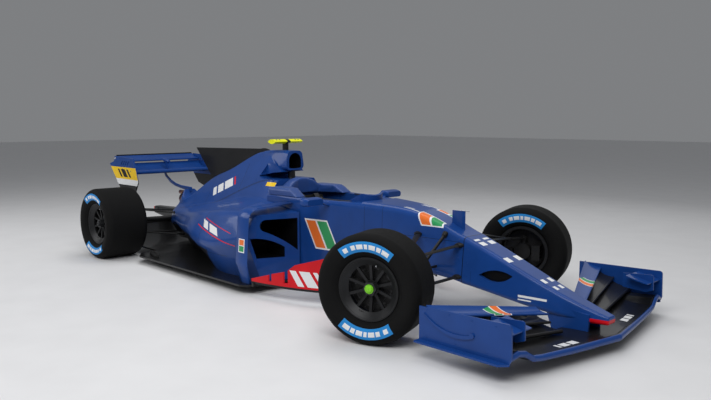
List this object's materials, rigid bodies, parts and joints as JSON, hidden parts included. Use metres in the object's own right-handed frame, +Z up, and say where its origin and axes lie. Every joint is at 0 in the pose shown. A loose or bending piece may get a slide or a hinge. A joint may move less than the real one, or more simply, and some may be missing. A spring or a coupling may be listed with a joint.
{
  "type": "open wheel racing car",
  "caption": "Single seat open wheel racing car with steered front wheels, slick tyres, front and rear wings, a high airbox with a tall fin, and a rear flap that opens.",
  "frame": {"origin": "on the ground under the middle of the car's overall length and width", "axes": "+X forwards to the nose, +Y to the driver's left, +Z up"},
  "size_m": [5.49, 2.1728, 1.16],
  "materials": {
    "body_blue": "deep gloss blue",
    "carbon_black": "satin black composite",
    "carbon_matt": "matt black",
    "bargeboard_red": "gloss red",
    "camera_yellow": "bright gloss yellow",
    "tyre_black": "matt rubber",
    "rim_grey": "dark satin grey",
    "nut_green": "bright green",
    "pad_blue": "soft covered pad",
    "metal_bare": "plain cast block",
    "exhaust_metal": "heat tinted",
    "light_red": "clear red lens"
  },
  "bodies": {
    "chassis": {"nose_cone": "body_blue", "monocoque": "body_blue", "nose_mast": "body_blue", "cockpit_cowl": "body_blue", "headrest": "pad_blue", "seat": "carbon_matt", "engine_cover": "body_blue", "sidepods": "body_blue", "shark_fin": "carbon_black", "camera_pod": "camera_yellow", "power_unit": "metal_bare", "exhaust": "exhaust_metal", "rear_crash_structure": "carbon_black", "rain_light": "light_red", "floor": "carbon_black", "plank": "carbon_matt", "diffuser": "carbon_black", "front_wing_main_plane": "carbon_black", "front_wing_flaps": "body_blue", "front_wing_endplates": "body_blue", "front_wing_fences": "body_blue", "nose_pylons": "body_blue", "rear_wing_main_plane": "body_blue", "rear_wing_endplates": "body_blue", "rear_wing_pylon": "body_blue", "drs_actuator": "body_blue", "bargeboards": "bargeboard_red", "pod_vanes": "body_blue", "mirrors": "body_blue", "front_wishbones": "carbon_black", "rear_uprights": "carbon_matt", "rear_wishbones": "carbon_black"},
    "knuckle_right": {"front_upright_right": "carbon_matt"},
    "wheel_front_right": {"tyre_front_right": "tyre_black", "rim_front_right": "rim_grey", "nut_front_right": "nut_green"},
    "wheel_rear_right": {"tyre_rear_right": "tyre_black", "rim_rear_right": "rim_grey", "nut_rear_right": "nut_green"},
    "knuckle_left": {"front_upright_left": "carbon_matt"},
    "wheel_front_left": {"tyre_front_left": "tyre_black", "rim_front_left": "rim_grey", "nut_front_left": "nut_green"},
    "wheel_rear_left": {"tyre_rear_left": "tyre_black", "rim_rear_left": "rim_grey", "nut_rear_left": "nut_green"},
    "rack": {"track_rods": "carbon_black"},
    "steering_wheel": {"steering_wheel": "carbon_matt"},
    "drs_flap": {"rear_wing_flap": "body_blue"}
  },
  "joints": [
    {"name": "steer_right", "type": "hinge", "parent": "chassis", "child": "knuckle_right", "pos_m": [1.58, -0.79, 0.335], "axis": [0, 0, 1], "range_deg": [-42, 2]},
    {"name": "spin_front_right", "type": "hinge", "parent": "knuckle_right", "child": "wheel_front_right", "pos_m": [1.58, -0.79, 0.335], "axis": [-0.342, 0.9397, 0], "continuous": true},
    {"name": "spin_rear_right", "type": "hinge", "parent": "chassis", "child": "wheel_rear_right", "pos_m": [-2.02, -0.7975, 0.335], "axis": [0, 1, 0], "continuous": true},
    {"name": "steer_left", "type": "hinge", "parent": "chassis", "child": "knuckle_left", "pos_m": [1.58, 0.79, 0.335], "axis": [0, 0, 1], "range_deg": [-42, 2]},
    {"name": "spin_front_left", "type": "hinge", "parent": "knuckle_left", "child": "wheel_front_left", "pos_m": [1.58, 0.79, 0.335], "axis": [-0.342, 0.9397, 0], "continuous": true},
    {"name": "spin_rear_left", "type": "hinge", "parent": "chassis", "child": "wheel_rear_left", "pos_m": [-2.02, 0.7975, 0.335], "axis": [0, 1, 0], "continuous": true},
    {"name": "rack_slide", "type": "slide", "parent": "chassis", "child": "rack", "axis": [0, 1, 0], "range_m": [-0.0035, 0.0685]},
    {"name": "steering_wheel_turn", "type": "hinge", "parent": "chassis", "child": "steering_wheel", "pos_m": [0.645, 0, 0.622], "axis": [-0.9703, 0, 0.2419], "range_deg": [-378, 18]},
    {"name": "drs_open", "type": "hinge", "parent": "chassis", "child": "drs_flap", "pos_m": [-2.61, 0, 0.922], "axis": [0, -1, 0], "range_deg": [0, 18]}
  ],
  "couplings": [
    {"joint": "steer_left", "follows": "steer_right", "ratio": 1},
    {"joint": "rack_slide", "follows": "steer_right", "m_per_rad": -0.0929},
    {"joint": "steering_wheel_turn", "follows": "steer_right", "ratio": 9}
  ]
}
